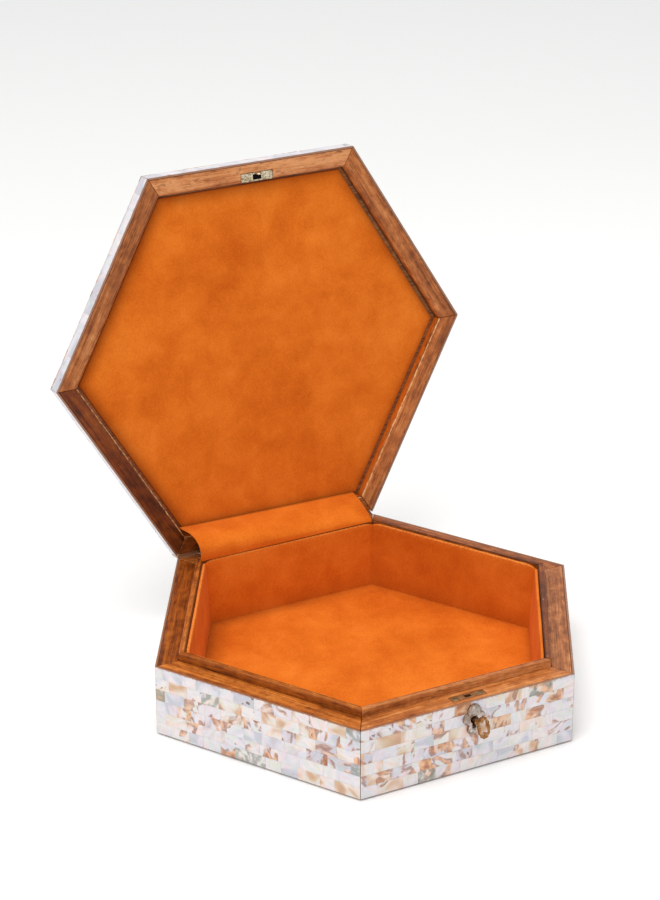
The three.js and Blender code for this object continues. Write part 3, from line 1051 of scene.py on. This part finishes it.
def make_lid_top():
    """The lid's top: rows of tiles across, clipped to the hexagon."""
    low, high = shut_box("lid_shell_top")
    face = high.y
    field = TileField(LID_TOP_SEED)
    courses = round(2 * face / (front_span("shell_front").high / COURSES_ON_WALL))
    for tile in running_bond(field.draw, low.x, high.x, -face, face, courses):
        corners = clip_to_hexagon(rectangle(*tile), face)
        if len(corners) > 2:
            field.add(corners, lambda across, up: FAR)
    tiles = field.build(lambda across, up, out: (across, up, high.z + out))
    outline = hexagon(face - BACKING_SINK)
    rings = [[(x, y, z) for x, y in outline] for z in (low.z, high.z - BACKING_SINK)]
    backing = mesh_object("lid_top_backing", *skin(rings), FILLER)
    carry(backing, "cut", lambda point: (point.x, point.y, FAR))
    panel = join([tiles, backing], "lid_top_tiles")
    settle(panel, "lid", ["lid_shell_top"], crease=20)


# Suede

def soft_shape(seed, depth):
    """Gentle hollows of card wrapped in suede."""
    def shape(x, outward, up):
        swell = noise.noise(Vector((x * 0.03 + seed * 9, outward * 0.05, up * 0.05)))
        return x, outward + swell * depth, up
    return shape


# Painted shade: how much darker some liners' suede is made.
LINER_DIM = {"back": 0.1, "back_right": 0.45}
LINER_STEP = 2.6


def make_liners():
    """Six cards wrapped in suede, with rounded tops and corners, leaning in towards the floor."""
    span = front_span("liner_front")
    corner_run = 8.0
    corner_drop = 2.6
    lean = 2.6
    radius = (span.outer - span.inner) / 2 - 0.05
    section = rounded_section(span, (0.3, radius, radius, 0.3), LINER_STEP)
    wide = span._replace(half=span.outer * TAN30 - 0.02)
    for index, side in enumerate(SIDE_NAMES):
        swell = soft_shape(index, 0.12)
        dim = LINER_DIM.get(side, 0.0)
        # The liners' light top edge is wear and painted highlight, strongest on the back liners.
        rub = 1.0 if side.startswith("back") else 0.3

        def shape(x, outward, up):
            x, outward, up = swell(x, outward, up)
            past = max(0.0, abs(x) - (span.half - corner_run)) / corner_run
            drop = corner_drop * (1 - math.sqrt(max(0.0, 1 - min(1.0, past) ** 2)))
            height = (up - span.low) / (span.high - span.low)
            inward = lean * (1 - height)
            return x * (1 - inward * TAN30 / span.half), outward - inward, up - drop * height

        def age(point):
            wear_and_highlight = rub * max(0.0, 1 - abs(span.high - point.z) / 1.1)
            # Painted shade: darker towards the liner's foot, where it meets the floor.
            shadow_share = 0.3 * max(0.0, 1 - (point.z - span.low) / 14)
            return dim, wear_and_highlight, shadow_share

        liner = sweep_board(f"liner_{side}_suede", wide, section, 0.05, LINER_STEP, shape, SUEDE)
        carry(liner, "age", age)
        settle(liner, "box", [f"liner_{side}"], index, crease=60)


# The widths set the painted shadow along a pad's edge; dim darkens its whole suede as painted shade.
Pad = namedtuple("Pad", "radius swell soil_width edge_width dim seed")
FLOOR_PAD = Pad(radius=0.9, swell=0.25, soil_width=16, edge_width=6.0, dim=0.0, seed=3.0)
LID_PAD = Pad(radius=0.7, swell=0.2, soil_width=9, edge_width=2.5, dim=0.15, seed=7.0)


def hexagon_pad(name, face, low, high, form):
    """A hexagonal card wrapped in suede: rounded upper arris, and a top that swells a little.
    It is darkened along its edge, most on the left, as painted shadow."""
    steps_a_side, rings_on_top = 30, 34
    corners = hexagon(face)
    outline = []
    for start, end in zip(corners, corners[1:] + corners[:1]):
        outline += [between(start, end, step / steps_a_side) for step in range(steps_a_side)]
    bends = [math.radians(15 * k) for k in range(7)]
    profile = [(1.0, high - low)]
    profile += [(1 - form.radius * (1 - math.cos(bend)) / face, form.radius * (1 - math.sin(bend)))
                for bend in bends]
    top = 1 - form.radius / face
    profile += [(top * (1 - k / rings_on_top), 0.0) for k in range(1, rings_on_top)]
    rings = [[(x, y, low) for x, y in outline]]
    for share, drop in profile:
        ring = []
        for x, y in outline:
            wave = noise.noise(Vector((x * share * 0.02, y * share * 0.02, form.seed)))
            dome = form.swell * (1 - share ** 6) * (0.6 + 0.4 * wave) if drop == 0 else 0
            ring.append((x * share, y * share, high - drop - form.swell + dome))
        rings.append(ring)
    pad = mesh_object(name, *skin(rings), SUEDE)

    def age(point):
        from_edge = face - max(point.x * x + point.y * y for x, y in six_directions(30))
        # Painted shadow along the edge, strongest on the left, with a narrow dark line at the very edge.
        leftness = min(1.0, 0.75 - 0.5 * point.x / face)
        shadow_share = leftness * max(0.0, 1 - from_edge / form.soil_width) ** 1.4
        return form.dim, 0, max(shadow_share, 0.8 * (1 - from_edge / form.edge_width))

    carry(pad, "age", age)
    return pad


def make_pads():
    """The floor pad, and the lid's pad, whose face looks down when the lid is shut."""
    low, high = shut_box("floor_pad")
    floor_pad = hexagon_pad("floor_pad_suede", high.y, low.z, high.z, FLOOR_PAD)
    settle(floor_pad, "box", ["floor_pad"], crease=60)
    low, high = shut_box("lid_pad")
    lid_pad = hexagon_pad("lid_pad_suede", high.y, -high.z, -low.z, LID_PAD)
    lid_pad.data.transform(Matrix.Scale(-1, 4, (0, 0, 1)))
    turn_faces_out(lid_pad)
    settle(lid_pad, "lid", ["lid_pad"], crease=60)


# Points (back, up) in millimetres from the hinge line, from the lid's recess to the back lip
FLAP_LEFT = (
    (6.8, 16.9), (2.0, 17.9), (-7.4, 19.2), (-14.8, 18.0), (-19.0, 14.6), (-20.0, 9.8), (-19.2, 4.5),
)
FLAP_RIGHT = (
    (6.6, 14.6), (1.0, 13.6), (-5.0, 12.0), (-10.0, 10.4), (-14.8, 8.4), (-18.0, 6.4), (-18.9, 4.5),
)
FLAP_THICKNESS = 0.9
# Two (back, up) places on the flap, the first by the box's lip and the second by the lid; they are turned
# into points and not used further
FLAP_BLEND = ((-19.3, 4.5), (1.0, 23.3))


def curve_point(points, share):
    """A point on the smooth curve through some points."""
    place = share * (len(points) - 1)
    index = min(int(place), len(points) - 2)
    t = place - index
    p = [Vector(points[max(0, min(len(points) - 1, index + k))]) for k in (-1, 0, 1, 2)]
    return 0.5 * (2 * p[1] + (p[2] - p[0]) * t + (2 * p[0] - 5 * p[1] + 4 * p[2] - p[3]) * t * t
                  + (3 * p[1] - p[0] - 3 * p[2] + p[3]) * t ** 3)


def flap_line(share):
    """The flap's middle line at a share of its width: it bulges on the left and flattens to the right."""
    ease = share ** 0.8
    return [Vector(left).lerp(Vector(right), ease) for left, right in zip(FLAP_LEFT, FLAP_RIGHT)]


def make_flap():
    """The suede strip from the lid's recess over the hinges to the back lip."""
    half_width = front_span("liner_front").inner * TAN30 - 0.4
    lid_flare, box_flare = 6.5, 3.2
    columns, rows = 80, 40
    upper, lower = [], []
    for column in range(columns + 1):
        share = column / columns
        line = flap_line(share)
        for row in range(rows + 1):
            along = row / rows
            flare = lid_flare + (box_flare - lid_flare) * along
            x = -half_width - flare + (2 * half_width + flare) * share
            here = curve_point(line, along)
            ahead = curve_point(line, min(1, along + 0.01)) - curve_point(line, max(0, along - 0.01))
            normal = Vector((-ahead.y, ahead.x)).normalized() * -1
            ripple = noise.noise(Vector((x * 0.05, along * 1.6, 2.0))) * 0.5 * math.sin(math.pi * along)
            for side, offset in ((upper, 0.5), (lower, -0.5)):
                spot = here + normal * (offset * FLAP_THICKNESS + ripple)
                side.append((x, HINGE_Y + spot.x, HINGE_Z + spot.y))
    points = upper + lower
    across, count = rows + 1, len(upper)
    faces = []
    for column in range(columns):
        for row in range(rows):
            a = column * across + row
            faces.append((a, a + across, a + across + 1, a + 1))
            faces.append((count + a, count + a + 1, count + a + across + 1, count + a + across))
    border = [column * across for column in range(columns + 1)]
    border += [columns * across + row for row in range(1, across)]
    border += [column * across + rows for column in range(columns - 1, -1, -1)]
    border += list(range(rows - 1, 0, -1))
    faces += [(a, b, count + b, count + a) for a, b in zip(border, border[1:] + border[:1])]
    flap = mesh_object("hinge_flap_suede", points, faces, SUEDE)
    crease_y = HINGE_Y + FLAP_LEFT[0][0]
    # Painted shade in the crease where the flap meets the lid's pad.
    carry(flap, "age", lambda point: (0, 0, max(0.0, 1 - abs(crease_y - point.y) / 2.2)))
    settle(flap, None, ["hinge_flap"], crease=70)
    lip_end, lid_end = [(0, (HINGE_Y + back) * MM, (HINGE_Z + up) * MM) for back, up in FLAP_BLEND]
    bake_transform(flap)
    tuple(lip_end)
    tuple(lid_end)
    lengths = [sum(math.dist(a, b) for a, b in zip(end, end[1:])) for end in (FLAP_LEFT, FLAP_RIGHT)]


# Metal

# Lobes as (across, up, radius)
ESCUTCHEON_LOBES = ((0, 5.6, 4.3), (0, -5.6, 4.3), (3.5, 0.9, 3.7), (-3.5, 0.9, 3.7), (0, 0, 5.2))
ESCUTCHEON_PROFILE = (
    (0.0, 0.0), (0.0, 0.9), (0.05, 1.1), (0.3, 1.3), (0.6, 1.25),
    (0.78, 1.0), (0.85, 1.2), (0.93, 1.15), (1.0, 0.7), (1.0, 0.0),
)
NAIL_OFFSET = 7.0
KEYHOLE_RADIUS = 2.4
KEYHOLE_SLOT = (1.3, 5.3)
KEY_TURN = math.radians(-12)
BOW_THICKNESS = 0.9
BOW_PROFILE = (
    (0.0, -0.3), (0.0, 0.3), (0.15, 0.5), (0.5, 0.6), (0.85, 0.5),
    (1.0, 0.3), (1.0, -0.3), (0.85, -0.5), (0.5, -0.6), (0.15, -0.5),
)
LOCK_SCREW_OFFSET = 7.6
CATCH_SCREW_OFFSET = 7.4


def reach_of_lobes(angle):
    """How far the escutcheon's outline lies from its middle in a direction."""
    direction = Vector((math.cos(angle), math.sin(angle)))
    best = 0
    for across, up, radius in ESCUTCHEON_LOBES:
        ahead = direction.x * across + direction.y * up
        aside = direction.x * up - direction.y * across
        if abs(aside) < radius:
            best = max(best, ahead + math.sqrt(radius * radius - aside * aside))
    return best


def reach_of_keyhole(angle):
    """How far the keyhole's outline lies from its middle in a direction."""
    c, s = math.cos(angle), math.sin(angle)
    half_width, drop = KEYHOLE_SLOT
    if s >= 0:
        return KEYHOLE_RADIUS
    slot = min(half_width / max(abs(c), 1e-6), drop / -s)
    return max(KEYHOLE_RADIUS, slot)


def circle(count, start=0.0):
    """Evenly spaced angles round a circle."""
    return [math.tau * (k + start) / count for k in range(count)]


def turned(profile, place):
    """A turned part from (along, radius) pairs. place turns (along, across, up) into a point."""
    return skin([
        [place(along, radius * math.cos(turn), radius * math.sin(turn)) for turn in circle(24)]
        for along, radius in profile
    ])


def dome_profile(start, radius, height):
    """A round head that rises from start."""
    steps = [math.radians(90 * level / 6) for level in range(6)]
    return [(start - 0.4, radius)] + [(start + height * math.sin(a), radius * math.cos(a)) for a in steps]


def together(parts):
    """Several (points, faces) as one."""
    points, faces = [], []
    for part_points, part_faces in parts:
        faces += shifted_faces(part_faces, len(points))
        points += part_points
    return points, faces


def make_escutcheon():
    """The lobed plate round the keyhole, domed, with a raised rim and two nail heads."""
    low, high = shut_box("escutcheon")
    centre_x, centre_z = (low.x + high.x) / 2, (low.z + high.z) / 2
    back, thickness = -high.y, high.y - low.y
    rings = []
    for share, height in ESCUTCHEON_PROFILE:
        ring = []
        for angle in circle(144):
            inner, outer = reach_of_keyhole(angle), reach_of_lobes(angle)
            reach = inner + (outer - inner) * share
            ring.append((centre_x + reach * math.cos(angle), -(back + thickness * height),
                         centre_z + reach * math.sin(angle)))
        rings.append(ring)
    parts = [skin(rings, closed=True)]
    for nail_z in (centre_z + NAIL_OFFSET, centre_z - NAIL_OFFSET):
        parts.append(turned(dome_profile(back + thickness, 1.3, 0.8),
                            lambda along, across, up: (centre_x + across, -along, nail_z + up)))
    plate = mesh_object("escutcheon_plate", *together(parts), STEEL)

    def age(point):
        across, up = point.x - centre_x, point.z - centre_z
        angle = math.atan2(up, across)
        reach = math.hypot(across, up)
        from_edge = reach_of_lobes(angle) - reach
        from_hole = reach - reach_of_keyhole(angle)
        return max(0.0, 1 - from_edge / 1.6, 0.7 - from_hole / 1.5), 0, 0

    carry(plate, "age", age)
    settle(plate, "box", ["escutcheon"], crease=40)


def make_key():
    """A bronze key: a scalloped ring with a cross cut out of it, on a turned shank."""
    low, high = shut_box("key")
    key_x, key_z = keyhole_centre()
    bow_radius = (high.z - low.z) / 2
    bow_out = -low.y - bow_radius
    plate_face = -shut_box("escutcheon")[0].y

    def place(along, across, up):
        turn_x = across * math.cos(KEY_TURN) - up * math.sin(KEY_TURN)
        turn_z = across * math.sin(KEY_TURN) + up * math.cos(KEY_TURN)
        return key_x + turn_x, -along, key_z + turn_z

    rings = []
    for share, height in BOW_PROFILE:
        ring = []
        for angle in circle(120):
            cross = 0.5 + 0.5 * math.cos(4 * angle)
            inner = bow_radius * (0.40 + 0.34 * cross ** 1.2)
            outer = bow_radius * (0.92 + 0.08 * abs(math.cos(6 * angle)))
            reach = inner + (outer - inner) * share
            along = bow_out + reach * math.cos(angle)
            ring.append(place(along, height * BOW_THICKNESS, reach * math.sin(angle)))
        rings.append(ring)
    bow_start = bow_out - bow_radius * 0.86
    shank = [
        (-high.y, 0.85), (-high.y + 0.3, 1.1), (plate_face + 0.6, 1.1),
        (bow_start - 1.9, 1.1), (bow_start - 1.6, 1.6), (bow_start - 1.1, 1.6),
        (bow_start - 0.8, 1.1), (bow_start, 1.0), (bow_start + 0.5, 0.9),
    ]
    parts = [skin(rings, closed=True), turned(shank, place)]
    key = mesh_object("key_bronze", *together(parts), BRONZE)

    def age(point):
        reach = math.hypot(-point.y - bow_out, point.z - key_z)
        return max(0.0, min(1.0, reach / bow_radius - 0.25)) * 0.8, 0, 0

    carry(key, "age", age)
    settle(key, "box", ["key"], crease=40)


def make_lock_screws():
    """The two screws that hold the lock's plate in the ledge."""
    low, high = shut_box("lock")
    y = (low.y + high.y) / 2
    parts = []
    for side in (-1, 1):
        x = (low.x + high.x) / 2 + side * LOCK_SCREW_OFFSET
        parts.append(turned(dome_profile(high.z, 1.5, 0.12),
                            lambda along, across, up: (x + across, y + up, along)))
    screws = mesh_object("lock_screws", *together(parts), SCREW_STEEL)
    settle(screws, "box", crease=40)


def tube(path, radius, place):
    """A round bar along a path of (across, along) points in one plane."""
    rings = []
    for index, (across, along) in enumerate(path):
        before = Vector(path[max(0, index - 1)])
        after = Vector(path[min(len(path) - 1, index + 1)])
        ahead = (after - before).normalized()
        ring = []
        for turn in circle(12):
            aside = radius * math.cos(turn)
            ring.append(place(along + ahead.x * aside, across - ahead.y * aside, radius * math.sin(turn)))
        rings.append(ring)
    return skin(rings)


def rounded_plate(half_length, half_depth, corner, levels, place):
    """A plate with round corners. levels gives (along, inset) from its back to its face."""
    rings = []
    for along, inset in levels:
        ring = []
        for turn in circle(32, 0.5):
            across = math.copysign(half_length - corner, math.cos(turn)) + (corner - inset) * math.cos(turn)
            up = math.copysign(half_depth - corner, math.sin(turn)) + (corner - inset) * math.sin(turn)
            ring.append(place(along, across, up))
        rings.append(ring)
    return skin(rings)


def make_catch():
    """The plate in the lid's front rim: two screws, and a staple that drops into the lock."""
    low, high = shut_box("catch")
    plate_face = high.z - 1.0
    staple = [point for point in shut_points("catch") if point.z < plate_face - 0.01]
    staple_low, staple_high = extent(staple)
    centre_x = (low.x + high.x) / 2
    centre_y = -front_span("lid_rim_front").inner - CATCH_DEPTH / 2
    staple_y = (staple_low.y + staple_high.y) / 2
    half_length, half_depth = (high.x - low.x) / 2, CATCH_DEPTH / 2

    def on_plate(along, across, up):
        return centre_x + across, centre_y + up, plate_face - along

    def on_staple(along, across, up):
        return centre_x + across, staple_y + up, plate_face - along

    levels = ((-1.0, 0.0), (-0.2, 0.0), (0.0, 0.2))
    parts = [rounded_plate(half_length, half_depth, 0.9, levels, on_plate)]
    slots = []
    for offset in (-CATCH_SCREW_OFFSET, CATCH_SCREW_OFFSET):
        parts.append(turned(dome_profile(0.0, 1.75, 0.22),
                            lambda along, across, up: on_plate(along, offset + across, up)))
        x = centre_x + offset
        slots.append(block((x - 0.22, centre_y - 2, plate_face - 1),
                           (x + 0.22, centre_y + 2, plate_face - 0.3)))
    body = mesh_object("catch_plate", *together(parts), BRASS)
    well = block((centre_x - 2.9, centre_y - 1.7, plate_face - 1),
                 (centre_x + 2.9, centre_y + 1.7, plate_face + 0.5))
    cut_away(body, [*slots, well])
    foot, half, reach = -0.6, 1.1, plate_face - staple_low.z - 0.6
    arc = [math.radians(180 - 22.5 * k) for k in range(1, 8)]
    path = [(-half, foot), (-half, reach - half)]
    path += [(half * math.cos(angle), reach - half + half * math.sin(angle)) for angle in arc]
    path += [(half, reach - half), (half, foot)]
    loop = mesh_object("staple", *tube(path, 0.62, on_staple), BRASS)

    def age(point):
        across, up = abs(point.x - centre_x), abs(point.y - centre_y)
        # Painted shade: the inside of the well is painted near black.
        in_well = across < 3.0 and up < 1.8 and point.z > plate_face + 0.05
        from_edge = min(half_length - across, half_depth - up)
        return max(0.0, 0.8 - from_edge / 1.2), 0, float(in_well)

    carry(body, "age", age)
    carry(loop, "age", lambda point: (0.3, 0, 0))
    catch = join([body, loop], "catch_plate")
    settle(catch, "lid", ["catch"])


# The nodes that keep their form

def dress_node(name, material, ease):
    """A CAD node that keeps its form: eased edges and its own finish."""
    node = frame["nodes"][name]
    node.data.materials.clear()
    node.data.materials.append(material)
    bevel = node.modifiers.new("ease", "BEVEL")
    bevel.width = ease * MM
    bevel.segments = 2
    bevel.limit_method = "ANGLE"
    bevel.angle_limit = math.radians(40)
    bevel.harden_normals = True


def dress_nodes():
    """The CAD nodes that stay visible."""
    for name in ("base_board", "lid_board"):
        dress_node(name, PLAIN_WOOD, 0.3)
    dress_node("lock", LOCK_STEEL, 0.1)
    make_lock_screws()
    for hand in ("left", "right"):
        for part in ("box_leaf", "lid_leaf", "pin"):
            dress_node(f"hinge_{part}_{hand}", STEEL, 0.12)


NACRE = nacre_finish()
FILLER = joint_finish()
WOOD = wood_finish()
PLAIN_WOOD = plain_wood_finish()
SUEDE = suede_finish()
STEEL = metal_finish("dull_steel", (206, 194, 188), (158, 150, 144), (136, 116, 96), 0.3)
LOCK_STEEL = metal_finish("lock_steel", (190, 142, 98), (152, 102, 62), (114, 96, 70), 0.45)
SCREW_STEEL = metal_finish("screw_steel", (160, 142, 112), (122, 110, 84), (94, 92, 72), 0.45)
BRASS = metal_finish("aged_brass", (240, 230, 204), (186, 172, 138), (92, 84, 64), 0.3)
BRONZE = metal_finish("bronze", (222, 170, 112), (164, 112, 64), (92, 56, 30), 0.28)

make_camera()
make_stage()
make_light()
make_walls()
make_shell_walls()
make_lid_rims()
make_lid_shell()
make_liners()
make_pads()
make_flap()
make_escutcheon()
make_key()
make_catch()
dress_nodes()
